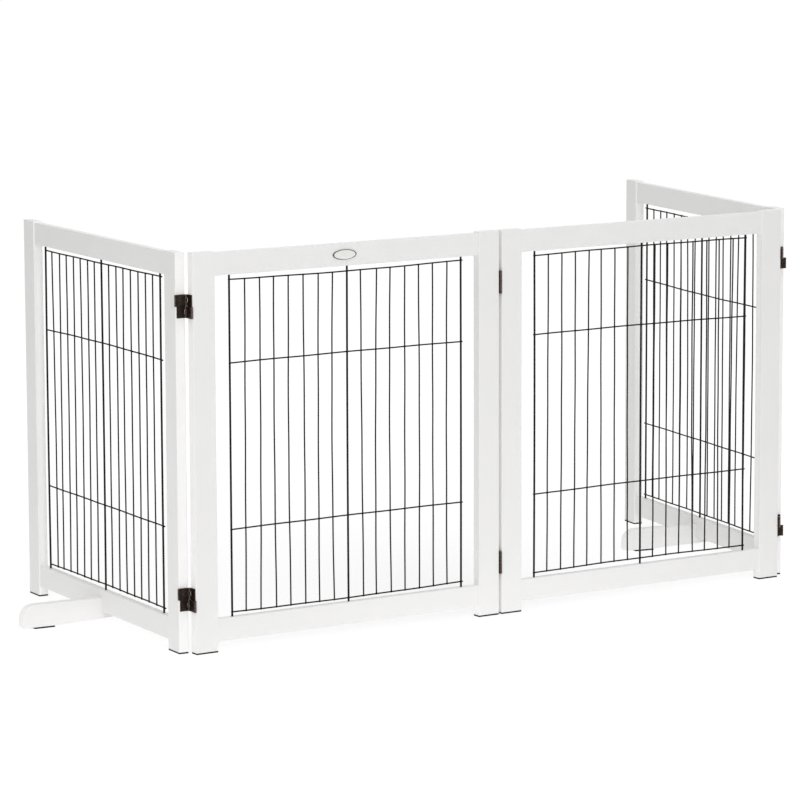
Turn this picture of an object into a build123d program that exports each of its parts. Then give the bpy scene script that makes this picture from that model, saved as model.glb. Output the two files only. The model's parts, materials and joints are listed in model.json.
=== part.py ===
"""Free-standing folding pet gate: four wood-framed wire panels joined by two-way hinges.

All sizes are in millimetres. The two front panels stand in line along X and face -Y, and a wing
folds back from each end. Z is up. The origin is the middle of the gate's footprint, on the floor.

A panel is built in its own frame: X runs along its width from its left end, Y goes from its front
face to its back, Z is up from the floor. A hinge is built in a frame with X across the gap between
two stiles (0 in the middle), Y from the front face to the back and Z from the hinge's mid-height.
"""
import os

from build123d import *

# Pose of the wings: how far each is folded back from the line of the front panels, in degrees
left_wing_fold = 93.4
right_wing_fold = 80.5

# Wooden frame of a panel
panel_width = 550.0
panel_height = 610.0
stile_width = 38.0
stile_thickness = 16.0
stile_edge_round = 1.5
rail_height = 35.0
rail_thickness = 12.0
rail_edge_round = 1.0
top_rail_drop = 2.0
floor_clearance = 16.0

# Dowels that join the rails to the stiles
dowel_diameter = 6.0
dowel_length = 30.0
dowel_spacing = 18.0
dowel_clearance = 0.05
dowel_end_room = 0.5

# Wire grille
upright_count = 17
rod_count = 3
rod_diameter = 3.2
wire_diameter = 2.3
cross_wire_diameter = 2.3
grille_side_margin = 29.0
cross_wire_margin = 7.0
cross_wire_overhang = 2.4
wire_overhang = 1.5
weld_depth = 0.6
rod_seat_depth = 10.0
rod_clearance = 0.05
rod_end_room = 0.5

# Pads under the stiles
pad_thickness = 2.5
pad_inset = 0.4

# Two-way hinges
hinge_height = 35.5
hinge_inset = 81.0
leaf_thickness = 1.2
link_thickness = 1.2
leaf_clearance = 0.7
barrel_clearance = 0.35
knuckle_gap = 0.3
axis_offset = 0.6
hinge_pin_diameter = 2.4
hinge_pin_clearance = 0.05

# Hinge screws
hinge_screw_head = 4.6
hinge_screw_shank = 2.6
hinge_screw_length = 15.0
screw_access_margin = 0.8
screw_clearance = 0.05
screw_point_share = 0.25
recess_width_share = 0.16
recess_length_share = 0.62
recess_depth_share = 0.55

# Feet
foot_length = 135.0
foot_thickness = 16.0
foot_top = 38.5
foot_offset = 12.0
foot_tip_round = 22.0
foot_small_round = 3.0
foot_edge_round = 1.0
foot_sole_rise = 4.0
tongue_reach = 13.0
tongue_relief = 2.0
foot_pad_length = 34.0
foot_pad_width = 14.0
foot_pad_from_tip = 21.0
foot_screw_head = 7.0
foot_screw_shank = 3.6
foot_screw_length = 45.0
foot_screw_spacing = 11.0

# Oval plaque
plaque_width = 42.0
plaque_height = 15.5
plaque_thickness = 1.6
plaque_edge_round = 0.5
plaque_offset = 8.0

# Distance within which an edge counts as lying on a face
touch = 0.01

panel_names = ["left_wing", "front_left", "front_right", "right_wing"]
joint_names = ["left_joint", "middle_joint", "right_joint"]

# Heights and positions that follow from the sizes above
rail_setback = (stile_thickness - rail_thickness) / 2
rail_back = rail_setback + rail_thickness
middle_depth = stile_thickness / 2
middle_width = panel_width / 2
foot_place = middle_width - foot_offset
rail_length = panel_width - 2 * stile_width
top_rail_top = panel_height - top_rail_drop
top_rail_bottom = top_rail_top - rail_height
bottom_rail_top = floor_clearance + rail_height
grille_height = (top_rail_bottom + bottom_rail_top) / 2
cross_wire_reach = (top_rail_bottom - bottom_rail_top) / 2 - cross_wire_margin
upright_pitch = (rail_length - 2 * grille_side_margin) / (upright_count - 1)
upright_places = [stile_width + grille_side_margin + i * upright_pitch for i in range(upright_count)]
rod_places = upright_places[::(upright_count - 1) // (rod_count - 1)]

hinge_gap = 2 * leaf_thickness + link_thickness + 2 * leaf_clearance
barrel_diameter = hinge_gap - 2 * barrel_clearance
front_axis = -axis_offset
rear_axis = stile_thickness + axis_offset
hinge_places = [pad_thickness + hinge_inset, panel_height - hinge_inset]
half_hinge = (hinge_height - knuckle_gap) / 2
knuckle_length = (half_hinge - 2 * knuckle_gap) / 3
plate_front = front_axis + barrel_diameter / 2 + barrel_clearance
plate_back = rear_axis - barrel_diameter / 2 - barrel_clearance


def block(x_limits, y_limits, z_limits):
    """Box between the given limits."""
    limits = (x_limits, y_limits, z_limits)
    size = [high - low for low, high in limits]
    centre = [(high + low) / 2 for low, high in limits]
    return Pos(*centre) * Box(*size)


def bar_along_x(diameter, start, end, y, z):
    """Round bar along X."""
    return Pos((start + end) / 2, y, z) * Rot(0, 90, 0) * Cylinder(diameter / 2, end - start)


def bar_along_z(diameter, x, y, start, end):
    """Round upright bar."""
    return Pos(x, y, (start + end) / 2) * Cylinder(diameter / 2, end - start)


def group(shapes):
    """Separate solids kept together in one node."""
    return Compound(children=[solid for shape in shapes for solid in shape.solids()])


def screw_body(head, shank, length):
    """Countersunk screw along -Z with its head's top at the origin, without a recess."""
    head_depth = (head - shank) / 2
    point = length * screw_point_share
    outline = Polyline(
        (0, 0),
        (head / 2, 0),
        (shank / 2, -head_depth),
        (shank / 2, point - length),
        (0, -length),
        close=True,
    )
    return revolve(Plane.XZ * make_face(outline), Axis.Z)


def screw(head, shank, length):
    """Countersunk screw with a cross recess in its head."""
    half_width = head * recess_width_share / 2
    half_length = head * recess_length_share / 2
    depth = (head - shank) / 2 * recess_depth_share
    along_x = block((-half_length, half_length), (-half_width, half_width), (-depth, depth))
    along_y = block((-half_width, half_width), (-half_length, half_length), (-depth, depth))
    return screw_body(head, shank, length) - along_x - along_y


def screw_hole(head, shank, length):
    """Cutter that leaves the named clearance all round a screw."""
    return screw_body(head + 2 * screw_clearance, shank + 2 * screw_clearance, length + screw_clearance)


def rail_heights():
    """Limits in Z of the top rail and of the bottom rail."""
    return [(top_rail_bottom, top_rail_top), (floor_clearance, bottom_rail_top)]


def dowel_bars(diameter, length):
    """Bars on the dowels' axes in a panel."""
    bars = []
    for joint_line in (stile_width, panel_width - stile_width):
        for low, high in rail_heights():
            for side in (-1, 1):
                height = (low + high) / 2 + side * dowel_spacing / 2
                bars.append(bar_along_x(diameter, joint_line - length / 2, joint_line + length / 2,
                                        middle_depth, height))
    return bars


def dowel_holes():
    """Cutters for the dowel holes of a panel."""
    return dowel_bars(dowel_diameter + 2 * dowel_clearance, dowel_length + 2 * dowel_end_room)


def hinge_seats(on_right):
    """Hinge frames on a panel's right or left edge; the left one is turned half round."""
    if on_right:
        return [Pos(panel_width + hinge_gap / 2, 0, height) for height in hinge_places]
    return [Pos(-hinge_gap / 2, 0, height) * Rot(0, 180, 0) for height in hinge_places]


def hinge_screw_places():
    """Frames of one leaf's screws, in the hinge frame, with the screw along -Z."""
    surface = leaf_thickness - hinge_gap / 2
    heights = (-hinge_height / 4, hinge_height / 4)
    return [Pos(surface, middle_depth, height) * Rot(0, 90, 0) for height in heights]


def at_hinge_screws(shape, on_right):
    """Copies of a screw or its cutter at every hinge screw on one edge of a panel."""
    return [seat * place * shape for seat in hinge_seats(on_right) for place in hinge_screw_places()]


def stile(on_right, hinged):
    """One upright of a panel, on its right or its left."""
    start = panel_width - stile_width if on_right else 0
    post = block((start, start + stile_width), (0, stile_thickness), (pad_thickness, panel_height))
    upper_edges = post.faces().sort_by(Axis.Z)[-1].edges()
    post = fillet(post.edges().filter_by(Axis.Z) + upper_edges, stile_edge_round)
    cutters = dowel_holes()
    if hinged:
        hole = screw_hole(hinge_screw_head, hinge_screw_shank, hinge_screw_length)
        cutters += at_hinge_screws(hole, on_right)
    return post - cutters


def rail(is_top):
    """A panel's top or bottom rail with its dowel holes and its rods' seats."""
    limits = rail_heights()[0 if is_top else 1]
    bar = block((stile_width, panel_width - stile_width), (rail_setback, rail_back), limits)
    bar = fillet(bar.edges().filter_by(Axis.X), rail_edge_round)
    seat_depth = rod_seat_depth + rod_end_room
    seats = [
        bar_along_z(rod_diameter + 2 * rod_clearance, place, middle_depth,
                    bottom_rail_top - seat_depth, top_rail_bottom + seat_depth)
        for place in rod_places
    ]
    return bar - dowel_holes() - seats


def grille():
    """Welded grille: rods from rail to rail, thin uprights between them, and four cross wires behind."""
    reach = cross_wire_reach + wire_overhang
    bars = []
    for place in upright_places:
        if place in rod_places:
            bars.append(bar_along_z(rod_diameter, place, middle_depth,
                                    bottom_rail_top - rod_seat_depth, top_rail_bottom + rod_seat_depth))
        else:
            bars.append(bar_along_z(wire_diameter, place, middle_depth,
                                    grille_height - reach, grille_height + reach))
    depth = middle_depth + wire_diameter / 2 + cross_wire_diameter / 2 - weld_depth
    start = upright_places[0] - cross_wire_overhang
    end = upright_places[-1] + cross_wire_overhang
    for share in (-1, -0.5, 0.5, 1):
        height = grille_height + share * cross_wire_reach
        bars.append(bar_along_x(cross_wire_diameter, start, end, depth, height))
    return bars[0] + bars[1:]


def stile_pads():
    """The two thin pads under a panel's stiles."""
    depth_limits = (pad_inset, stile_thickness - pad_inset)
    starts = (0, panel_width - stile_width)
    return group(
        block((start + pad_inset, start + stile_width - pad_inset), depth_limits, (0, pad_thickness))
        for start in starts
    )


def hinge_axes():
    """For each half of a hinge, upper first: its limits in Z and the axis of the left leaf's knuckles."""
    upper = (knuckle_gap / 2, hinge_height / 2)
    lower = (-hinge_height / 2, -knuckle_gap / 2)
    return [(upper, front_axis), (lower, rear_axis)]


def tab(x_limits, axis, z_limits):
    """Strip of a plate from the plate's core to a hinge axis."""
    core_edge = plate_front if axis == front_axis else plate_back
    return block(x_limits, (min(axis, core_edge), max(axis, core_edge)), z_limits)


def hinge_bore(axis, z_limits):
    """Cutter for the pin's hole in a barrel."""
    return bar_along_z(hinge_pin_diameter + 2 * hinge_pin_clearance, 0, axis, *z_limits)


def hinge_leaf():
    """Left leaf: a plate with end knuckles on the front axis above and on the rear axis below."""
    x_limits = (-hinge_gap / 2, leaf_thickness - hinge_gap / 2)
    plate = block(x_limits, (plate_front, plate_back), (-hinge_height / 2, hinge_height / 2))
    for (low, high), axis in hinge_axes():
        for z_limits in ((low, low + knuckle_length), (high - knuckle_length, high)):
            plate += tab(x_limits, axis, z_limits)
            plate += bar_along_z(barrel_diameter, 0, axis, *z_limits)
        plate -= hinge_bore(axis, (low, high))
    hole = screw_hole(hinge_screw_head, hinge_screw_shank, hinge_screw_length)
    return plate - [place * hole for place in hinge_screw_places()]


def hinge_link():
    """Upper link: a strap in the middle of the gap, with a knuckle on each axis and a screw hole."""
    (low, high), _ = hinge_axes()[0]
    x_limits = (-link_thickness / 2, link_thickness / 2)
    middle = ((low + high - knuckle_length) / 2, (low + high + knuckle_length) / 2)
    strap = block(x_limits, (plate_front, plate_back), (low, high))
    for axis in (front_axis, rear_axis):
        strap += tab(x_limits, axis, middle)
        strap += bar_along_z(barrel_diameter, 0, axis, *middle)
        strap -= hinge_bore(axis, (low, high))
    access = hinge_screw_head + 2 * screw_access_margin
    return strap - bar_along_x(access, -hinge_gap / 2, hinge_gap / 2, middle_depth, hinge_height / 4)


def hinge_pins():
    """The two pins held by the left leaf."""
    return [bar_along_z(hinge_pin_diameter, 0, axis, *z_limits) for z_limits, axis in hinge_axes()]


def foot_screw_places():
    """Frames of the foot screws: heads in the bottom rail's back face, points towards the front."""
    middle = (floor_clearance + foot_top) / 2
    heights = (middle - foot_screw_spacing / 2, middle + foot_screw_spacing / 2)
    return [Pos(foot_place, rail_back, height) * Rot(-90, 0, 0) for height in heights]


def foot_screw_holes():
    """Cutters for the foot screws."""
    hole = screw_hole(foot_screw_head, foot_screw_shank, foot_screw_length)
    return [place * hole for place in foot_screw_places()]


def lies_on_rail(edge):
    """Whether a foot's edge lies on the front face or the underside of the bottom rail."""
    place = edge.center()
    on_front = abs(place.Y - rail_setback) < touch
    under = rail_setback < place.Y < rail_back and abs(place.Z - floor_clearance) < touch
    return on_front or under


def foot():
    """Board on edge against the bottom rail, with a sole that rises from the pad and a tongue under the rail."""
    tip = rail_setback - foot_length
    pad_end = tip + foot_pad_from_tip + foot_pad_length
    tongue_end = stile_thickness + tongue_reach
    face = make_face(Polyline(
        (rail_setback, foot_top),
        (tip, foot_top),
        (tip, pad_thickness),
        (pad_end, pad_thickness),
        (tongue_end, pad_thickness + foot_sole_rise),
        (tongue_end, floor_clearance - tongue_relief),
        (rail_back, floor_clearance),
        (rail_setback, floor_clearance),
        close=True,
    ))
    rounds = [
        ((tip, foot_top), foot_tip_round),
        ((tip, pad_thickness), foot_small_round),
        ((tongue_end, floor_clearance - tongue_relief), foot_small_round),
    ]
    for corner, radius in rounds:
        face = fillet(face.vertices().sort_by_distance((*corner, 0))[0], radius)
    board = Pos(foot_place, 0, 0) * extrude(Plane.YZ * face, foot_thickness / 2, both=True)
    side_edges = board.faces().filter_by(Axis.X).edges()
    board = fillet([edge for edge in side_edges if not lies_on_rail(edge)], foot_edge_round)
    return board - foot_screw_holes()


def foot_pad():
    """Pad under a foot's tip."""
    start = rail_setback - foot_length + foot_pad_from_tip
    half_width = foot_pad_width / 2
    x_limits = (foot_place - half_width, foot_place + half_width)
    return block(x_limits, (start, start + foot_pad_length), (0, pad_thickness))


def plaque():
    """Bare oval plaque on the front of a top rail, a little left of its middle."""
    plate = extrude(Ellipse(plaque_width / 2, plaque_height / 2), plaque_thickness)
    plate = fillet(plate.faces().sort_by(Axis.Z)[-1].edges(), plaque_edge_round)
    height = (top_rail_top + top_rail_bottom) / 2
    return Pos(middle_width - plaque_offset, rail_setback, height) * Rot(90, 0, 0) * plate


def panel_frames():
    """Where each panel stands: its frame in the frame of the left front panel."""
    pitch = panel_width + hinge_gap
    left_axis = Pos(-hinge_gap / 2, rear_axis, 0)
    right_axis = Pos(2 * pitch - hinge_gap / 2, rear_axis, 0)
    left_wing = left_axis * Rot(0, 0, -left_wing_fold) * Pos(-panel_width - hinge_gap / 2, -rear_axis, 0)
    right_wing = right_axis * Rot(0, 0, right_wing_fold) * Pos(hinge_gap / 2, -rear_axis, 0)
    return [left_wing, Pos(0, 0, 0), Pos(pitch, 0, 0), right_wing]


def turn_to_back():
    """Half turn about a panel's middle, which takes a front foot to the back."""
    return Pos(panel_width, stile_thickness, 0) * Rot(0, 0, 180)


def wing_foot_nodes(name, frame, turned):
    """A wing's foot with its pad and screws."""
    one_screw = screw(foot_screw_head, foot_screw_shank, foot_screw_length)
    screws = group(place * one_screw for place in foot_screw_places())
    shapes = {"foot": foot(), "foot_pad": foot_pad(), "foot_screws": screws}
    return {name + "_" + part: frame * turned * shape for part, shape in shapes.items()}


def panel_nodes(frames):
    """Frames, grilles, dowels and pads of the four panels, and the wings' feet."""
    foot_turns = {"left_wing": Pos(0, 0, 0), "right_wing": turn_to_back()}
    top_rail = rail(True)
    bottom_rail = rail(False)
    wires = grille()
    dowels = group(dowel_bars(dowel_diameter, dowel_length))
    pads = stile_pads()
    nodes = {}
    for name, frame in zip(panel_names, frames):
        lower = bottom_rail
        if name in foot_turns:
            lower = bottom_rail - [foot_turns[name] * hole for hole in foot_screw_holes()]
            nodes.update(wing_foot_nodes(name, frame, foot_turns[name]))
        shapes = {
            "left_stile": stile(False, name != panel_names[0]),
            "right_stile": stile(True, name != panel_names[-1]),
            "top_rail": top_rail,
            "bottom_rail": lower,
            "grille": wires,
            "dowels": dowels,
            "stile_pads": pads,
        }
        nodes.update({name + "_" + part: frame * shape for part, shape in shapes.items()})
    return nodes


def hinge_nodes(frames):
    """Leaves and links of the three joints, and each panel's hinge pins and screws."""
    leaf = hinge_leaf()
    link = hinge_link()
    pins = hinge_pins()
    one_screw = screw(hinge_screw_head, hinge_screw_shank, hinge_screw_length)
    held_pins = {name: [] for name in panel_names}
    held_screws = {name: [] for name in panel_names}
    nodes = {}
    for i, joint in enumerate(joint_names):
        for panel, on_right, leaf_name, link_name in (
            (i, True, "left_leaves", "upper_links"),
            (i + 1, False, "right_leaves", "lower_links"),
        ):
            seats = [frames[panel] * seat for seat in hinge_seats(on_right)]
            nodes[joint + "_" + leaf_name] = group(seat * leaf for seat in seats)
            nodes[joint + "_" + link_name] = group(seat * link for seat in seats)
            held_pins[panel_names[panel]] += [seat * pin for seat in seats for pin in pins]
            held_screws[panel_names[panel]] += [
                frames[panel] * placed for placed in at_hinge_screws(one_screw, on_right)
            ]
    for name in panel_names:
        nodes[name + "_hinge_pins"] = group(held_pins[name])
        nodes[name + "_hinge_screws"] = group(held_screws[name])
    return nodes


def footprint_middle(shapes):
    """Middle in X and Y of the box around all shapes."""
    boxes = [shape.bounding_box() for shape in shapes]
    low_x = min(box.min.X for box in boxes)
    high_x = max(box.max.X for box in boxes)
    low_y = min(box.min.Y for box in boxes)
    high_y = max(box.max.Y for box in boxes)
    return (low_x + high_x) / 2, (low_y + high_y) / 2


def gate_nodes():
    """Every node of the gate with the origin in the middle of its footprint."""
    frames = panel_frames()
    nodes = panel_nodes(frames)
    nodes.update(hinge_nodes(frames))
    nodes["plaque"] = frames[1] * plaque()
    x, y = footprint_middle(nodes.values())
    return {name: Pos(-x, -y, 0) * shape for name, shape in nodes.items()}


def main():
    """Write one file for each node."""
    os.makedirs("parts", exist_ok=True)
    for name, shape in gate_nodes().items():
        export_step(shape, "parts/" + name + ".step")


if __name__ == "__main__":
    main()
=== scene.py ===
"""Looks of a free-standing folding pet gate.

Painted timber, coated wire and bronze hinges stand in a pale studio.
"""

import json
import logging
from abc import ABC, abstractmethod
from dataclasses import dataclass, field
from enum import Enum

import bmesh
import bpy
import numpy as np
from mathutils import Euler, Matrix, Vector


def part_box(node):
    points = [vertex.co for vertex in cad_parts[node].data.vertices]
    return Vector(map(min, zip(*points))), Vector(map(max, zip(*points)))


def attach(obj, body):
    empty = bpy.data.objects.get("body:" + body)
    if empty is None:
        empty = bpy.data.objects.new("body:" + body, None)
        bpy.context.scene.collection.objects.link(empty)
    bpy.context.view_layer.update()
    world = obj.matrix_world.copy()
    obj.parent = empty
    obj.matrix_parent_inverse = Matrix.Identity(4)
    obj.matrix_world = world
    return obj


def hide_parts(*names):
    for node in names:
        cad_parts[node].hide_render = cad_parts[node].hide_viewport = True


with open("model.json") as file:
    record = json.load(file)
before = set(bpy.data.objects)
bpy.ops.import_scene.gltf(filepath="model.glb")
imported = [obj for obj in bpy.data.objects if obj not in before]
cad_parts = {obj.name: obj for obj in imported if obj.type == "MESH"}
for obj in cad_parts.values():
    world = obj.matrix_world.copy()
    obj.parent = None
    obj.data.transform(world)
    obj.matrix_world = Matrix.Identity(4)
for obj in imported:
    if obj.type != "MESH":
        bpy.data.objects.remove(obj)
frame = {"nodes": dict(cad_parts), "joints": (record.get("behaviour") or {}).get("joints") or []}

Array = np.ndarray
Colour = tuple[float, float, float]
Span = tuple[float, float]
Socket = bpy.types.NodeSocket

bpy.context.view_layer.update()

# Sideways offset of a panel's cross wires, in metres
CROSS_SLIP = {"front_left": 0.0018, "front_right": 0.0018}
FIRST_SEED = 11
MERGE_DISTANCE = 1e-7

# Part of the range of a noise in which most of its values lie
NOISE_SPAN: Span = (0.3, 0.7)

# Sockets of the mix node that carry colours
MIX_FIRST, MIX_SECOND, MIX_RESULT = 6, 7, 2
WHITE: Colour = (1.0, 1.0, 1.0)

log = logging.getLogger("pet_gate")


class Grain(Enum):
    """Way that the wood grain runs in a panel's own frame."""

    UPRIGHT = "upright"
    ALONG = "along"
    OUTWARD = "outward"


class Shader:
    """A material's node tree with short calls that add and join nodes."""

    def __init__(self, name: str) -> None:
        """Start an empty tree.

        Args:
            name: name of the material.
        """
        self.material = bpy.data.materials.new(name)
        self.material.use_nodes = True
        self.tree = self.material.node_tree
        self.tree.nodes.clear()
        self.output = self.add("ShaderNodeOutputMaterial")

    def add(self, kind: str, **values: object) -> bpy.types.Node:
        """Add a node and set its properties.

        Args:
            kind: Blender's name of the node type.
            values: properties of the node.

        Returns:
            The new node.
        """
        node = self.tree.nodes.new(kind)
        for key, value in values.items():
            setattr(node, key, value)
        return node

    def join(self, source: Socket, target: Socket) -> None:
        """Link two sockets."""
        self.tree.links.new(source, target)

    def mapped(self, output: str, turn: float = 0.0, scale: Colour = WHITE,
               place: Colour = (0.0, 0.0, 0.0)) -> Socket:
        """Texture coordinates in a pattern's own frame.

        Args:
            output: kind of coordinates, an output of the coordinates node.
            turn: angle of the pattern's own X axis in the row frame, in radians.
            scale: size of the pattern's unit along each turned axis.
            place: origin of the pattern.

        Returns:
            The vector socket.
        """
        source = self.add("ShaderNodeTexCoord")
        mapping = self.add("ShaderNodeMapping", vector_type="TEXTURE")
        mapping.inputs["Location"].default_value = place
        mapping.inputs["Rotation"].default_value = (0.0, 0.0, turn)
        mapping.inputs["Scale"].default_value = scale
        self.join(source.outputs[output], mapping.inputs["Vector"])
        return mapping.outputs["Vector"]

    def coords(self, stretch: Colour, turn: float = 0.0) -> Socket:
        """Object coordinates turned about Z and then stretched to so many features per metre."""
        return self.mapped("Object", turn, tuple(1.0 / s for s in stretch))

    def noise(self, coords: Socket, detail: float, rough: float = 0.55) -> Socket:
        """Noise with one feature per unit of its coordinates.

        Args:
            coords: vector socket to read.
            detail: number of octaves.
            rough: weight of the finer octaves.

        Returns:
            The factor socket.
        """
        node = self.add("ShaderNodeTexNoise")
        node.inputs["Scale"].default_value = 1.0
        node.inputs["Detail"].default_value = detail
        node.inputs["Roughness"].default_value = rough
        self.join(coords, node.inputs["Vector"])
        return node.outputs["Fac"]

    def narrowness(self, turn: float) -> Socket:
        """Share by which a surface looks away from the panel's depth.

        Args:
            turn: angle of the panel's own X axis in the row frame, in radians.

        Returns:
            Socket that is 0 on the panel's broad faces and 1 on its narrow sides.
        """
        split = self.add("ShaderNodeSeparateXYZ")
        size = self.add("ShaderNodeMath", operation="ABSOLUTE")
        rest = self.add("ShaderNodeMath", operation="SUBTRACT")
        rest.inputs[0].default_value = 1.0
        self.join(self.mapped("Normal", turn), split.inputs["Vector"])
        self.join(split.outputs["Y"], size.inputs[0])
        self.join(size.outputs["Value"], rest.inputs[1])
        return rest.outputs["Value"]

    def ramp(self, factor: Socket, low: Colour, high: Colour, span: Span = NOISE_SPAN) -> Socket:
        """Colour between two tones.

        Args:
            factor: socket that chooses the tone.
            low: tone at the start of the span.
            high: tone at the end of the span.
            span: factor at each tone.

        Returns:
            The colour socket.
        """
        node = self.add("ShaderNodeValToRGB")
        first, last = node.color_ramp.elements
        first.position, last.position = span
        first.color = (*low, 1.0)
        last.color = (*high, 1.0)
        self.join(factor, node.inputs["Fac"])
        return node.outputs["Color"]

    def between(self, factor: Socket, limits: Span) -> Socket:
        """Value between two limits as the factor goes through a noise's usual span.

        Args:
            factor: socket that chooses the value.
            limits: value at each end of the span.

        Returns:
            The value socket.
        """
        node = self.add("ShaderNodeMapRange")
        for key, value in zip(("From Min", "From Max", "To Min", "To Max"), (*NOISE_SPAN, *limits)):
            node.inputs[key].default_value = value
        self.join(factor, node.inputs["Value"])
        return node.outputs["Result"]

    def blend(self, first: Socket, second: Socket, factor: Socket | None = None) -> Socket:
        """Mix two colours by a factor, or multiply them where no factor is given.

        Args:
            first: colour socket.
            second: colour socket.
            factor: share of the second colour.

        Returns:
            The colour socket.
        """
        kind = "MULTIPLY" if factor is None else "MIX"
        node = self.add("ShaderNodeMix", data_type="RGBA", blend_type=kind)
        if factor is None:
            node.inputs["Factor"].default_value = 1.0
        else:
            self.join(factor, node.inputs["Factor"])
        self.join(first, node.inputs[MIX_FIRST])
        self.join(second, node.inputs[MIX_SECOND])
        return node.outputs[MIX_RESULT]

    def darken(self, colour: Socket, factor: Socket, amount: float) -> Socket:
        """Multiply a colour by a grey that takes away the amount where the factor is low."""
        return self.blend(colour, self.ramp(factor, (1.0 - amount,) * 3, WHITE))

    def bump(self, height: Socket, relief: Span, below: Socket | None = None) -> Socket:
        """Normal of a bumpy surface.

        Args:
            height: height socket from 0 to 1.
            relief: height in metres at 1, and the share of the bump that shows.
            below: normal of a coarser bump underneath.

        Returns:
            The normal socket.
        """
        node = self.add("ShaderNodeBump")
        node.inputs["Distance"].default_value, node.inputs["Strength"].default_value = relief
        self.join(height, node.inputs["Height"])
        if below is not None:
            self.join(below, node.inputs["Normal"])
        return node.outputs["Normal"]

    def glowing(self, tone: float, factor: Socket, gain: float, base: float = 0.0) -> Socket:
        """Matt grey that also glows, with strength = factor * gain + base.

        Args:
            tone: grey of the matt surface.
            factor: socket that the glow follows.
            gain: rise of the glow as the factor goes from 0 to 1.
            base: glow where the factor is 0.

        Returns:
            The shader socket.
        """
        matt = self.add("ShaderNodeBsdfDiffuse")
        matt.inputs["Color"].default_value = (tone, tone, tone, 1.0)
        strength = self.add("ShaderNodeMath", operation="MULTIPLY_ADD")
        strength.inputs[1].default_value = gain
        strength.inputs[2].default_value = base
        self.join(factor, strength.inputs[0])
        glow = self.add("ShaderNodeEmission")
        self.join(strength.outputs["Value"], glow.inputs["Strength"])
        both = self.add("ShaderNodeAddShader")
        self.join(matt.outputs["BSDF"], both.inputs[0])
        self.join(glow.outputs["Emission"], both.inputs[1])
        return both.outputs["Shader"]

    def choice(self, factor: Socket, first: Socket, second: Socket) -> Socket:
        """Shader that is the first where the factor is 0 and the second where it is 1.

        Args:
            factor: socket that chooses.
            first: shader socket.
            second: shader socket.

        Returns:
            The shader socket.
        """
        node = self.add("ShaderNodeMixShader")
        for source, target in zip((factor, first, second), node.inputs):
            self.join(source, target)
        return node.outputs["Shader"]

    def surface(self, colour: Socket, roughness: Socket, normal: Socket, metallic: float = 0.0,
                specular: float = 0.5) -> bpy.types.Material:
        """Close the tree with a principled shader.

        Args:
            colour: base colour socket.
            roughness: roughness socket.
            normal: normal socket.
            metallic: 0 for paint or rubber, 1 for bare metal.
            specular: strength of the shader's own reflection.

        Returns:
            The finished material.
        """
        node = self.add("ShaderNodeBsdfPrincipled")
        node.inputs["Metallic"].default_value = metallic
        node.inputs["Specular IOR Level"].default_value = specular
        self.join(colour, node.inputs["Base Color"])
        self.join(roughness, node.inputs["Roughness"])
        self.join(normal, node.inputs["Normal"])
        self.join(node.outputs["BSDF"], self.output.inputs["Surface"])
        return self.material


class Finish(ABC):
    """A finish that makes its material once and dresses objects with it."""

    name: str

    @abstractmethod
    def make(self) -> bpy.types.Material:
        """Build the material."""

    def dress(self, piece: bpy.types.Object) -> None:
        """Put this finish on a piece.

        Args:
            piece: object that gets the finish in place of its own materials.
        """
        material = bpy.data.materials.get(self.name) or self.make()
        piece.data.materials.clear()
        piece.data.materials.append(material)


@dataclass(frozen=True)
class PaintedWood(Finish):
    """Satin white paint that shows a little of the grain, with painted shade on the broad faces that leaves
    the narrow sides lighter as if they caught more light.

    Patterns are in features per metre. A relief is a depth in metres and the share that shows.
    """

    name: str
    grain: Grain
    turn: float = 0.0
    low: Colour = (0.886, 0.881, 0.874)
    high: Colour = (0.9, 0.895, 0.888)
    # Painted shade: share by which the broad faces are darkened, so the narrow sides look lit
    broad_face_shade: float = 0.1
    mottled: float = 0.015
    along: float = 7.0
    across: float = 300.0
    brush_along: float = 2.2
    brush_across: float = 0.22
    cloud: float = 11.0
    peel: float = 900.0
    marks_relief: Span = (0.00004, 0.3)
    grain_relief: Span = (0.00002, 0.35)
    peel_relief: Span = (0.00001, 0.35)
    roughness: Span = (0.38, 0.5)
    specular: float = 0.4

    def stretch(self, along: float, across: float) -> Colour:
        """Pattern that is longer along the grain's axis than across it."""
        axis = {Grain.ALONG: 0, Grain.OUTWARD: 1, Grain.UPRIGHT: 2}[self.grain]
        return tuple(along if i == axis else across for i in range(3))

    def make(self) -> bpy.types.Material:
        """Build the paint: long grain lines, soft brush marks, a faint mottling, fine orange peel and
        painted shade on the broad faces.

        Returns:
            The material.
        """
        shader = Shader(self.name)
        fibre = self.stretch(self.along, self.across)
        brush = self.stretch(self.along * self.brush_along, self.across * self.brush_across)
        grain = shader.noise(shader.coords(fibre, self.turn), detail=4.0, rough=0.6)
        marks = shader.noise(shader.coords(brush, self.turn), detail=2.0)
        cloud = shader.noise(shader.coords((self.cloud,) * 3), detail=2.0)
        peel = shader.noise(shader.coords((self.peel,) * 3), detail=1.0)
        colour = shader.darken(shader.ramp(grain, self.low, self.high), cloud, self.mottled)
        depth_turn = self.turn + (np.pi / 2.0 if self.grain is Grain.OUTWARD else 0.0)
        # Painted shade: darken the broad faces so the narrow sides read as catching more light
        colour = shader.darken(colour, shader.narrowness(depth_turn), self.broad_face_shade)
        normal = shader.bump(marks, self.marks_relief)
        normal = shader.bump(grain, self.grain_relief, normal)
        normal = shader.bump(peel, self.peel_relief, normal)
        return shader.surface(colour, shader.between(marks, self.roughness), normal, specular=self.specular)


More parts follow.
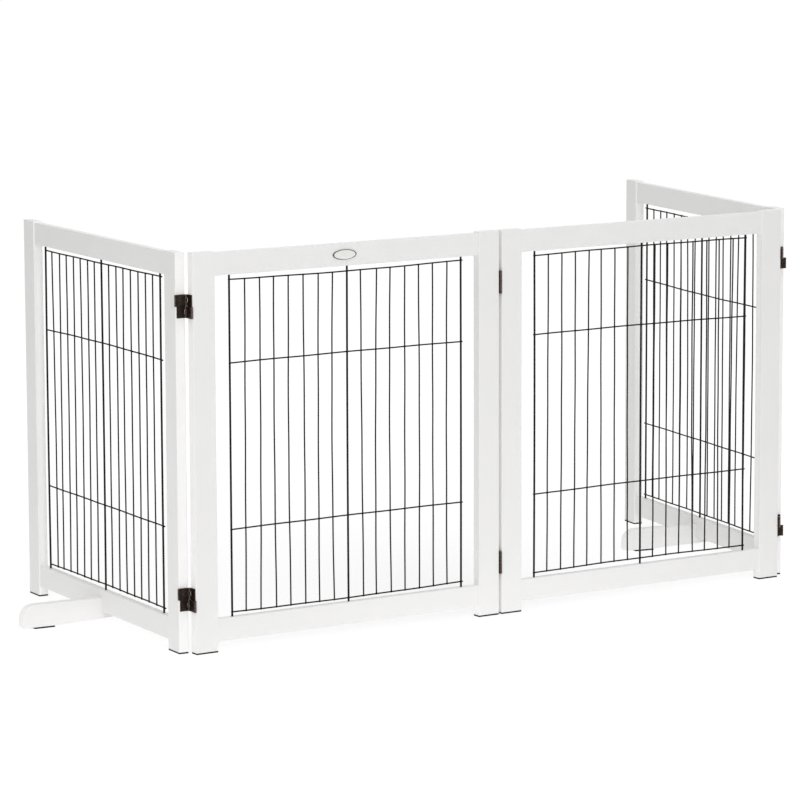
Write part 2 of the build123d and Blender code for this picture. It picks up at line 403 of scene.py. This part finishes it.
@dataclass(frozen=True)
class CoatedWire(Finish):
    """Black powder coat on steel wire."""

    name: str = "black_powder_coat"
    low: Colour = (0.004, 0.004, 0.004)
    high: Colour = (0.011, 0.011, 0.011)
    pebble: float = 1900.0
    patch: float = 120.0
    relief: Span = (0.00002, 0.25)
    roughness: Span = (0.5, 0.68)
    specular: float = 0.12

    def make(self) -> bpy.types.Material:
        """Build the coat: fine pebbling with thinner, shinier places.

        Returns:
            The material.
        """
        shader = Shader(self.name)
        pebble = shader.noise(shader.coords((self.pebble,) * 3), detail=2.0)
        patch = shader.noise(shader.coords((self.patch,) * 3), detail=2.0)
        colour = shader.ramp(patch, self.low, self.high)
        normal = shader.bump(pebble, self.relief)
        return shader.surface(colour, shader.between(patch, self.roughness), normal, specular=self.specular)


@dataclass(frozen=True)
class BronzePlate(Finish):
    """Dark bronze plating, with a painted highlight that makes the barrels and the plates' edges browner.
    """

    name: str
    turn: float
    low: Colour = (0.016, 0.011, 0.009)
    high: Colour = (0.05, 0.034, 0.026)
    # Painted highlight: lighter brown for the barrels and plate edges, where light catches them
    edge_highlight_low: Colour = (0.1, 0.07, 0.056)
    edge_highlight_high: Colour = (0.26, 0.19, 0.155)
    lined: float = 0.25
    cloud: float = 260.0
    lines: Colour = (2400.0, 2400.0, 130.0)
    relief: Span = (0.00002, 0.4)
    roughness: Span = (0.5, 0.34)
    metallic: float = 0.85

    def make(self) -> bpy.types.Material:
        """Build the plating: clouds over roller lines, with a painted highlight in brown where a face turns
        off the plate.

        Returns:
            The material.
        """
        shader = Shader(self.name)
        cloud = shader.noise(shader.coords((self.cloud,) * 3), detail=4.0, rough=0.62)
        lines = shader.noise(shader.coords(self.lines), detail=2.0)
        plain = shader.ramp(cloud, self.low, self.high)
        # Painted highlight: lighter brown mixed in on the faces that turn off the plate
        edge_highlight = shader.ramp(cloud, self.edge_highlight_low, self.edge_highlight_high)
        colour = shader.blend(plain, edge_highlight, shader.narrowness(self.turn + np.pi / 2.0))
        colour = shader.darken(colour, lines, self.lined)
        normal = shader.bump(lines, self.relief)
        return shader.surface(colour, shader.between(cloud, self.roughness), normal, metallic=self.metallic)


@dataclass(frozen=True)
class PlatedSteel(Finish):
    """Turned steel with a thin dark plating, for pins and screws."""

    name: str
    low: Colour = (0.12, 0.1, 0.09)
    high: Colour = (0.32, 0.28, 0.26)
    worn: float = 420.0
    lines: Colour = (500.0, 500.0, 4200.0)
    relief: Span = (0.00001, 0.4)
    roughness: Span = (0.42, 0.26)

    def make(self) -> bpy.types.Material:
        """Build the steel: fine turning lines and a worn tone.

        Returns:
            The material.
        """
        shader = Shader(self.name)
        worn = shader.noise(shader.coords((self.worn,) * 3), detail=3.0)
        lines = shader.noise(shader.coords(self.lines), detail=1.0)
        colour = shader.ramp(worn, self.low, self.high)
        normal = shader.bump(lines, self.relief)
        return shader.surface(colour, shader.between(worn, self.roughness), normal, metallic=1.0)


@dataclass(frozen=True)
class PadRubber(Finish):
    """Matt dark pad, slightly dusty."""

    name: str = "matt_dark_pad"
    low: Colour = (0.011, 0.0105, 0.009)
    high: Colour = (0.026, 0.025, 0.021)
    cells: float = 1500.0
    dust: float = 90.0
    relief: Span = (0.00015, 0.6)
    roughness: Span = (0.78, 0.95)
    specular: float = 0.2

    def make(self) -> bpy.types.Material:
        """Build the pad: close cells with dust in them.

        Returns:
            The material.
        """
        shader = Shader(self.name)
        cells = shader.noise(shader.coords((self.cells,) * 3), detail=3.0, rough=0.7)
        dust = shader.noise(shader.coords((self.dust,) * 3), detail=2.0)
        colour = shader.ramp(dust, self.low, self.high)
        normal = shader.bump(cells, self.relief)
        return shader.surface(colour, shader.between(cells, self.roughness), normal, specular=self.specular)


@dataclass(frozen=True)
class BareBeech(Finish):
    """Unfinished beech, for the dowels."""

    name: str = "bare_beech"
    low: Colour = (0.42, 0.27, 0.15)
    high: Colour = (0.62, 0.44, 0.28)
    flecks: Colour = (900.0, 900.0, 160.0)
    relief: Span = (0.00005, 0.5)
    roughness: Span = (0.6, 0.8)

    def make(self) -> bpy.types.Material:
        """Build the wood: short flecks on a pale ground.

        Returns:
            The material.
        """
        shader = Shader(self.name)
        flecks = shader.noise(shader.coords(self.flecks), detail=4.0, rough=0.65)
        colour = shader.ramp(flecks, self.low, self.high)
        normal = shader.bump(flecks, self.relief)
        return shader.surface(colour, shader.between(flecks, self.roughness), normal)


@dataclass(frozen=True)
class BrushedPlaque(Finish):
    """Fine brushed silver field inside a darker polished rim."""

    middle: Colour
    half: Colour
    name: str = "brushed_silver_plaque"
    low: Colour = (0.66, 0.66, 0.64)
    high: Colour = (0.86, 0.86, 0.84)
    rim_tone: float = 0.9
    rim_start: float = 0.87
    rim_blur: float = 0.06
    ignored_depth: float = 10.0
    brush: Colour = (90.0, 4000.0, 4000.0)
    relief: Span = (0.00001, 0.4)
    roughness: Span = (0.24, 0.38)

    def make(self) -> bpy.types.Material:
        """Build the metal: long brush lines, darkened where the ellipse's radius nears 1.

        Returns:
            The material.
        """
        shader = Shader(self.name)
        brush = shader.noise(shader.coords(self.brush), detail=3.0, rough=0.6)
        size = (self.half[0], self.ignored_depth, self.half[2])
        radius = shader.add("ShaderNodeVectorMath", operation="LENGTH")
        shader.join(shader.mapped("Object", 0.0, size, self.middle), radius.inputs[0])
        rim = shader.ramp(radius.outputs["Value"], WHITE, (1.0 - self.rim_tone,) * 3,
                          (self.rim_start, self.rim_start + self.rim_blur))
        colour = shader.blend(shader.ramp(brush, self.low, self.high), rim)
        normal = shader.bump(brush, self.relief)
        return shader.surface(colour, shader.between(brush, self.roughness), normal, metallic=1.0)


def grid_quads(rows: int, columns: int, count: int = 1) -> Array:
    """Corner numbers of the quads of grids that are closed round their columns.

    Quad (i, j) joins points (i, j), (i, j+1), (i+1, j+1) and (i+1, j), with j+1 taken round to 0.

    Args:
        rows: points along each grid.
        columns: points round each grid.
        count: number of grids laid one after another.

    Returns:
        Array of shape (quads, 4).
    """
    i, j = np.meshgrid(np.arange(rows - 1), np.arange(columns), indexing="ij")
    k = (j + 1) % columns
    quads = np.stack([i * columns + j, i * columns + k, (i + 1) * columns + k, (i + 1) * columns + j], -1)
    starts = np.arange(count)[:, None, None] * rows * columns
    return (quads.reshape(1, -1, 4) + starts).reshape(-1, 4)


def tubes(paths: Array, radii: Array, first: Array, second: Array, sides: int) -> tuple[Array, Array]:
    """Round bars: a circle carried along each path, drawn in to a point at both ends.

    Point = path + radius * (cos a * first + sin a * second), with a going round once.

    Args:
        paths: points of the paths, of shape (bars, points, 3).
        radii: radius of each bar.
        first: unit vector across all the bars.
        second: unit vector across all the bars and square to the first.
        sides: points round a bar.

    Returns:
        The points and the quads' corner numbers.
    """
    ends = np.concatenate([paths[:, :1], paths, paths[:, -1:]], 1)
    share = np.ones(ends.shape[1])
    share[[0, -1]] = 0.0
    angle = np.linspace(0.0, 2.0 * np.pi, sides, endpoint=False)
    ring = np.cos(angle)[:, None] * first + np.sin(angle)[:, None] * second
    reach = radii[:, None, None, None] * share[None, :, None, None]
    points = ends[:, :, None, :] + reach * ring[None, None]
    return points.reshape(-1, 3), grid_quads(ends.shape[1], sides, len(paths))


def beads(centres: Array, half: Colour, rings: int = 6, sides: int = 8) -> tuple[Array, Array]:
    """Flattened balls at the welds.

    Point = centre + half * (sin t cos a, sin t sin a, cos t), with t from pole to pole and a once round.

    Args:
        centres: middles of the balls, of shape (balls, 3).
        half: half sizes along the three axes.
        rings: points from pole to pole.
        sides: points round a ball.

    Returns:
        The points and the quads' corner numbers.
    """
    t = np.linspace(np.pi, 0.0, rings)[:, None]
    a = np.linspace(0.0, 2.0 * np.pi, sides, endpoint=False)[None, :]
    unit = np.stack([np.sin(t) * np.cos(a), np.sin(t) * np.sin(a), np.cos(t) + 0.0 * a], -1)
    points = centres[:, None, None, :] + unit[None] * np.asarray(half)
    return points.reshape(-1, 3), grid_quads(rings, sides, len(centres))


def join_surfaces(*surfaces: tuple[Array, Array]) -> tuple[Array, Array]:
    """Lay several surfaces one after another in one list of points and quads.

    Args:
        surfaces: points and quads' corner numbers of each surface.

    Returns:
        The points and the quads' corner numbers.
    """
    starts = np.cumsum([0] + [len(points) for points, _ in surfaces[:-1]])
    points = np.concatenate([points for points, _ in surfaces])
    quads = np.concatenate([quads + start for (_, quads), start in zip(surfaces, starts)])
    return points, quads


def new_piece(name: str, points: Array, quads: Array, body: str, node: str) -> bpy.types.Object:
    """Make a smooth closed piece that stands for a CAD node.

    Args:
        name: name of the piece.
        points: its points in the row frame, in metres.
        quads: its quads' corner numbers.
        body: CAD body that it rides on.
        node: CAD node that it stands for.

    Returns:
        The new object.
    """
    mesh = bpy.data.meshes.new(name)
    mesh.vertices.add(len(points))
    mesh.vertices.foreach_set("co", points.astype(np.float32).ravel())
    mesh.loops.add(quads.size)
    mesh.loops.foreach_set("vertex_index", quads.astype(np.int32).ravel())
    mesh.polygons.add(len(quads))
    mesh.polygons.foreach_set("loop_start", np.arange(0, quads.size, 4, dtype=np.int32))
    mesh.update(calc_edges=True)
    work = bmesh.new()
    work.from_mesh(mesh)
    bmesh.ops.remove_doubles(work, verts=work.verts, dist=MERGE_DISTANCE)
    bmesh.ops.recalc_face_normals(work, faces=work.faces)
    work.to_mesh(mesh)
    work.free()
    mesh.polygons.foreach_set("use_smooth", np.ones(len(mesh.polygons), bool))
    piece = bpy.data.objects.new(name, mesh)
    bpy.context.scene.collection.objects.link(piece)
    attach(piece, body)
    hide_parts(node)
    log.info("%s: %d faces in place of %s", name, len(mesh.polygons), node)
    return piece


@dataclass(frozen=True)
class PanelPlace:
    """Where a panel stands: its own frame turned about Z and moved in the row frame."""

    corner: tuple[float, float]
    turn: float
    width: float

    def to_row(self, points: Array) -> Array:
        """Carry points from the panel's frame to the row frame.

        Args:
            points: array whose last axis is width, depth and height in the panel.

        Returns:
            The points in the row frame.
        """
        c, s = np.cos(self.turn), np.sin(self.turn)
        turned = points @ np.array([[c, s, 0.0], [-s, c, 0.0], [0.0, 0.0, 1.0]])
        return turned + np.array([*self.corner, 0.0])


def panel_places() -> dict[str, PanelPlace]:
    """Read each panel's place from the CAD boxes and the wings' joints.

    A wing's own frame turns about its joint by the fold that its joint's range has left down to flat.

    Returns:
        Places by the panel's name.
    """
    joints = {joint["name"]: joint for joint in frame["joints"]}
    low = np.array(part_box("front_left_left_stile")[0])
    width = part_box("front_left_right_stile")[1].x - low[0]
    places = {"front_left": PanelPlace((low[0], low[1]), 0.0, width)}
    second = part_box("front_right_left_stile")[0]
    places["front_right"] = PanelPlace((second.x, second.y), 0.0, width)
    axis = np.array(joints["left_wing_fold"]["pos_m"])
    reach, depth = low[0] - axis[0], axis[1] - low[1]
    for name, sign, start in (("left_wing", -1.0, width + reach), ("right_wing", 1.0, -reach)):
        joint = joints[name + "_fold"]
        turn = -sign * np.radians(joint["range_deg"][0])
        origin = PanelPlace((0.0, 0.0), turn, width).to_row(np.array([start, depth, 0.0]))
        corner = np.array(joint["pos_m"]) - origin
        places[name] = PanelPlace((corner[0], corner[1]), turn, width)
    return places


@dataclass
class Timber:
    """Painted wooden frame of a panel with its foot, dowels and pads."""

    panel: str
    place: PanelPlace
    upright: PaintedWood = field(init=False)
    along: PaintedWood = field(init=False)
    outward: PaintedWood = field(init=False)

    def __post_init__(self) -> None:
        """Turn the paint's grain with the panel."""
        turn = self.place.turn
        self.upright = PaintedWood(f"white_paint_upright_{self.panel}", Grain.UPRIGHT, turn)
        self.along = PaintedWood(f"white_paint_along_{self.panel}", Grain.ALONG, turn)
        self.outward = PaintedWood(f"white_paint_outward_{self.panel}", Grain.OUTWARD, turn)

    def dress(self) -> None:
        """Give every CAD node of the frame its finish."""
        finishes: dict[str, Finish] = {
            "left_stile": self.upright,
            "right_stile": self.upright,
            "top_rail": self.along,
            "bottom_rail": self.along,
            "foot": self.outward,
            "dowels": BareBeech(),
            "stile_pads": PadRubber(),
            "foot_pad": PadRubber(),
            "foot_screws": PlatedSteel("plated_screw"),
            "hinge_screws": PlatedSteel("bronze_screw", (0.03, 0.023, 0.019), (0.085, 0.064, 0.052)),
            "hinge_pins": PlatedSteel("bronze_pin", (0.1, 0.07, 0.055), (0.24, 0.17, 0.14)),
        }
        for part, finish in finishes.items():
            node = frame["nodes"].get(f"{self.panel}_{part}")
            if node is not None:
                finish.dress(node)
                log.info("%s: %s", node.name, finish.name)


@dataclass
class WireGrille:
    """Welded wire grille of a panel, with the small bends of real wire."""

    panel: str
    place: PanelPlace
    seed: int
    uprights: int = 17
    rod_step: int = 8
    pitch: float = 0.026
    depth: float = 0.008
    rod_radius: float = 0.0016
    wire_radius: float = 0.00115
    cross_radius: float = 0.00115
    weld_depth: float = 0.0006
    middle: float = 0.312
    rod_reach: float = 0.271
    wire_tip: float = 0.0009
    cross_reach: float = 0.254
    overhang: float = 0.0024
    slip: float = 0.0
    bead_half: Colour = (0.0015, 0.0013, 0.0015)
    tilt: float = 0.0017
    bow: float = 0.0012
    ripple: float = 0.0002
    ripple_waves: float = 3.0
    pinned_bow: float = 0.6
    cross_levels: tuple[float, ...] = (-1.0, -0.5, 0.5, 1.0)
    steps: int = 44
    sides: int = 10

    def sway(self, count: int, pinned: Array, rng: np.random.Generator) -> Array:
        """Sideways bend of each wire along its length.

        Bend = tilt * (s - 1/2) + bow * sin(pi s) + ripple * sin(2 pi (waves * s + phase)), s from 0 to 1.
        A pinned bar has no tilt, no ripple and a smaller bow.

        Args:
            count: number of wires.
            pinned: true for each bar that is held at both ends.
            rng: seeded source of the wires' differences.

        Returns:
            Offsets in metres, of shape (wires, steps).
        """
        s = np.linspace(0.0, 1.0, self.steps)[None]
        tilt, bow, phase = rng.normal(size=(3, count, 1))
        free = ~pinned[:, None]
        bend = bow * self.bow * np.where(free, 1.0, self.pinned_bow) * np.sin(np.pi * s)
        wave = self.ripple * np.sin(2.0 * np.pi * (self.ripple_waves * s + phase))
        return bend + free * (tilt * self.tilt * (s - 0.5) + wave)

    def build(self) -> bpy.types.Object:
        """Make the uprights, the cross wires and the weld beads as one piece.

        A thin upright ends just past the outer cross wires, and a bead sits where each pair really cross.

        Returns:
            The grille's object.
        """
        rng = np.random.default_rng(self.seed)
        centre = self.place.width / 2.0
        number = np.arange(self.uprights)
        pinned = number % self.rod_step == 0
        across = centre + (number - (self.uprights - 1) / 2.0) * self.pitch
        width = across[:, None] + self.sway(self.uprights, pinned, rng)
        levels = self.middle + self.cross_reach * np.array(self.cross_levels)
        line = levels[:, None] + self.sway(len(levels), np.zeros(len(levels), bool), rng)
        half = (self.uprights - 1) / 2.0 * self.pitch + self.overhang
        run = centre + self.slip + half * np.linspace(-1.0, 1.0, self.steps)
        crossing = np.stack([np.interp(across, run, row) for row in line])
        low = np.where(pinned, self.middle - self.rod_reach, crossing[0] - self.wire_tip)
        high = np.where(pinned, self.middle + self.rod_reach, crossing[-1] + self.wire_tip)
        height = np.linspace(low, high, self.steps, axis=1)
        upright = np.stack([width, np.full_like(width, self.depth), height], -1)
        radii = np.where(pinned, self.rod_radius, self.wire_radius)
        behind = self.depth + self.wire_radius + self.cross_radius - self.weld_depth
        cross = np.stack([np.broadcast_to(run, line.shape), np.full_like(line, behind), line], -1)
        spots = [np.interp(crossing[:, i], height[i], width[i]) for i in range(self.uprights)]
        depths = np.full_like(crossing, (self.depth + behind) / 2.0)
        weld = np.stack([np.stack(spots, 1), depths, crossing], -1).reshape(-1, 3)
        x, y, z = np.eye(3)
        points, quads = join_surfaces(
            tubes(upright, radii, x, y, self.sides),
            tubes(cross, np.full(len(levels), self.cross_radius), y, z, self.sides),
            beads(weld, self.bead_half),
        )
        piece = new_piece(f"{self.panel}_wire_mesh", self.place.to_row(points), quads, self.panel,
                          f"{self.panel}_grille")
        CoatedWire().dress(piece)
        return piece


@dataclass
class OvalPlaque:
    """Bare oval plaque with a raised rim and a gently domed field."""

    rim: float = 0.0011
    field_level: float = 0.62
    dome: float = 0.14
    steps: int = 9
    sides: int = 72

    def build(self) -> bpy.types.Object:
        """Make the plaque: a profile carried round an ellipse.

        Point = ((a - inset) k cos t, -height, (b - inset) k sin t) from the middle of its back, where the
        profile gives inset, height and k, and k falls to 0 in the middle of the back and of the front.

        Returns:
            The plaque's object.
        """
        low, high = (np.array(corner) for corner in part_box("plaque"))
        middle, half = (low + high) / 2.0, (high - low) / 2.0
        tall = 2.0 * half[1]
        rise = np.linspace(0.0, np.pi, self.steps)
        rim_inset = self.rim * (1.0 - np.cos(rise)) / 2.0
        rim_height = tall * (self.field_level + (1.0 - self.field_level) * np.sin(rise))
        field_share = np.linspace(1.0, 0.0, self.steps)[1:]
        field_height = tall * (self.field_level + self.dome * (1.0 - field_share ** 2))
        inset = np.concatenate([[0.0, 0.0], rim_inset, np.full(len(field_share), self.rim)])
        height = np.concatenate([[0.0, 0.0], rim_height, field_height])
        share = np.concatenate([[0.0, 1.0], np.ones(len(rise)), field_share])
        t = np.linspace(0.0, 2.0 * np.pi, self.sides, endpoint=False)[None]
        wide = ((half[0] - inset) * share)[:, None] * np.cos(t)
        up = ((half[2] - inset) * share)[:, None] * np.sin(t)
        out = np.broadcast_to(-height[:, None], wide.shape)
        points = np.stack([wide + middle[0], out + high[1], up + middle[2]], -1).reshape(-1, 3)
        piece = new_piece("bare_oval_plaque", points, grid_quads(len(inset), self.sides), "front_left",
                          "plaque")
        BrushedPlaque(tuple(middle), tuple(half)).dress(piece)
        return piece


@dataclass
class HingeSet:
    """Leaves and links of a joint's two hinges, each lying along one of the two panels' ends."""

    joint: str
    left: PanelPlace
    right: PanelPlace

    def dress(self) -> None:
        """Plate the joint's leaves and links."""
        sides = {"left_leaves": self.left, "upper_links": self.left,
                 "right_leaves": self.right, "lower_links": self.right}
        for part, place in sides.items():
            node = frame["nodes"][f"{self.joint}_{part}"]
            plating = BronzePlate(f"dark_bronze_{self.joint}_{part}", place.turn)
            plating.dress(node)
            log.info("%s: %s", node.name, plating.name)


@dataclass(frozen=True)
class SoftBox:
    """A large soft lamp."""

    name: str
    place: Colour
    aim: Colour
    size: tuple[float, float]
    power: float

    def hang(self) -> None:
        """Put the lamp into the scene, turned to its aim."""
        lamp = bpy.data.lights.new(self.name, "AREA")
        lamp.shape = "RECTANGLE"
        lamp.size, lamp.size_y = self.size
        lamp.energy = self.power
        holder = bpy.data.objects.new(self.name, lamp)
        holder.location = self.place
        holder.rotation_euler = (Vector(self.aim) - Vector(self.place)).to_track_quat("-Z", "Y").to_euler()
        bpy.context.scene.collection.objects.link(holder)


@dataclass
class Studio:
    """Pale floor, even white surroundings, soft lamps and the camera."""

    floor_half: float = 60.0
    paper: float = 0.9
    floor_lit: float = 0.34
    floor_glow: float = 0.835
    near_drop: float = 0.175
    sheet_glow: float = 0.61
    sheet_reach: float = 2.2
    sky: float = 0.51
    lens: float = 181.97
    sensor: float = 36.0
    view_end: float = 300.0
    camera_place: Colour = (-3.503, -5.4757, 1.291)
    camera_turn: Colour = (81.402, 0.193, -32.689)
    lamps: tuple[SoftBox, ...] = (
        SoftBox("key_softbox", (-1.5, -4.4, 2.2), (0.1, -0.1, 0.3), (2.6, 2.6), 76.0),
        SoftBox("top_softbox", (0.0, -0.4, 4.2), (0.0, 0.0, 0.3), (3.2, 3.2), 42.0),
        SoftBox("low_left_softbox", (-1.5, -0.2, 0.12), (-0.6, 0.0, 0.05), (0.2, 1.0), 2.1),
    )

    def camera_rays(self, tree: bpy.types.NodeTree) -> Socket:
        """Factor that is 1 for camera, glossy and transmitted rays.

        Args:
            tree: node tree to add it to.

        Returns:
            The factor socket.
        """
        path = tree.nodes.new("ShaderNodeLightPath")
        total = path.outputs["Is Camera Ray"]
        for ray in ("Is Glossy Ray", "Is Transmission Ray"):
            node = tree.nodes.new("ShaderNodeMath")
            node.operation = "MAXIMUM"
            tree.links.new(total, node.inputs[0])
            tree.links.new(path.outputs[ray], node.inputs[1])
            total = node.outputs[0]
        return total

    def lay_floor(self) -> None:
        """Lay a wide pale floor that keeps the gate's shadow and lets a view from below pass."""
        h = self.floor_half
        mesh = bpy.data.meshes.new("floor")
        mesh.from_pydata([(-h, -h, 0.0), (h, -h, 0.0), (h, h, 0.0), (-h, h, 0.0)], [], [(0, 1, 2, 3)])
        floor = bpy.data.objects.new("floor", mesh)
        bpy.context.scene.collection.objects.link(floor)
        mesh.materials.append(self.floor_material())

    def floor_material(self) -> bpy.types.Material:
        """Paper that throws light up near the gate, is seen as plain white and is clear from below.

        Returns:
            The material.
        """
        shader = Shader("pale_floor")
        gradient = shader.add("ShaderNodeTexGradient", gradient_type="QUADRATIC_SPHERE")
        shader.join(shader.coords((1.0 / self.sheet_reach,) * 3), gradient.inputs["Vector"])
        near = gradient.outputs["Fac"]
        lighting = shader.glowing(self.paper, near, self.sheet_glow)
        seen = shader.glowing(self.floor_lit, near, -self.near_drop, self.floor_glow)
        above = shader.choice(self.camera_rays(shader.tree), lighting, seen)
        side = shader.add("ShaderNodeNewGeometry")
        below = shader.add("ShaderNodeBsdfTransparent")
        both = shader.choice(side.outputs["Backfacing"], above, below.outputs["BSDF"])
        shader.join(both, shader.output.inputs["Surface"])
        return shader.material

    def light_world(self) -> None:
        """Light evenly from all round and show plain white behind."""
        world = bpy.data.worlds.new("white_room")
        bpy.context.scene.world = world
        world.use_nodes = True
        tree = world.node_tree
        tree.nodes.clear()
        output = tree.nodes.new("ShaderNodeOutputWorld")
        light = tree.nodes.new("ShaderNodeBackground")
        light.inputs["Strength"].default_value = self.sky
        white = tree.nodes.new("ShaderNodeBackground")
        for node in (light, white):
            node.inputs["Color"].default_value = (*WHITE, 1.0)
        mix = tree.nodes.new("ShaderNodeMixShader")
        tree.links.new(self.camera_rays(tree), mix.inputs[0])
        tree.links.new(light.outputs[0], mix.inputs[1])
        tree.links.new(white.outputs[0], mix.inputs[2])
        tree.links.new(mix.outputs[0], output.inputs["Surface"])

    def set_camera(self) -> None:
        """Stand the camera where the photograph was taken."""
        data = bpy.data.cameras.new("camera")
        data.lens = self.lens
        data.sensor_width = self.sensor
        data.clip_end = self.view_end
        camera = bpy.data.objects.new("camera", data)
        camera.location = self.camera_place
        camera.rotation_euler = Euler(np.radians(self.camera_turn))
        bpy.context.scene.collection.objects.link(camera)
        bpy.context.scene.camera = camera

    def build(self) -> None:
        """Set up the whole studio."""
        bpy.context.scene.view_settings.view_transform = "Standard"
        self.lay_floor()
        self.light_world()
        for lamp in self.lamps:
            lamp.hang()
        self.set_camera()


def main() -> None:
    """Dress the gate piece by piece and set up the studio."""
    logging.basicConfig(level=logging.INFO, format="%(name)s: %(message)s")
    places = panel_places()
    for seed, (panel, place) in enumerate(places.items(), start=FIRST_SEED):
        Timber(panel, place).dress()
        WireGrille(panel, place, seed, slip=CROSS_SLIP.get(panel, 0.0)).build()
    HingeSet("left_joint", places["left_wing"], places["front_left"]).dress()
    HingeSet("middle_joint", places["front_left"], places["front_right"]).dress()
    HingeSet("right_joint", places["front_right"], places["right_wing"]).dress()
    OvalPlaque().build()
    Studio().build()


if __name__ == "__main__":
    main()
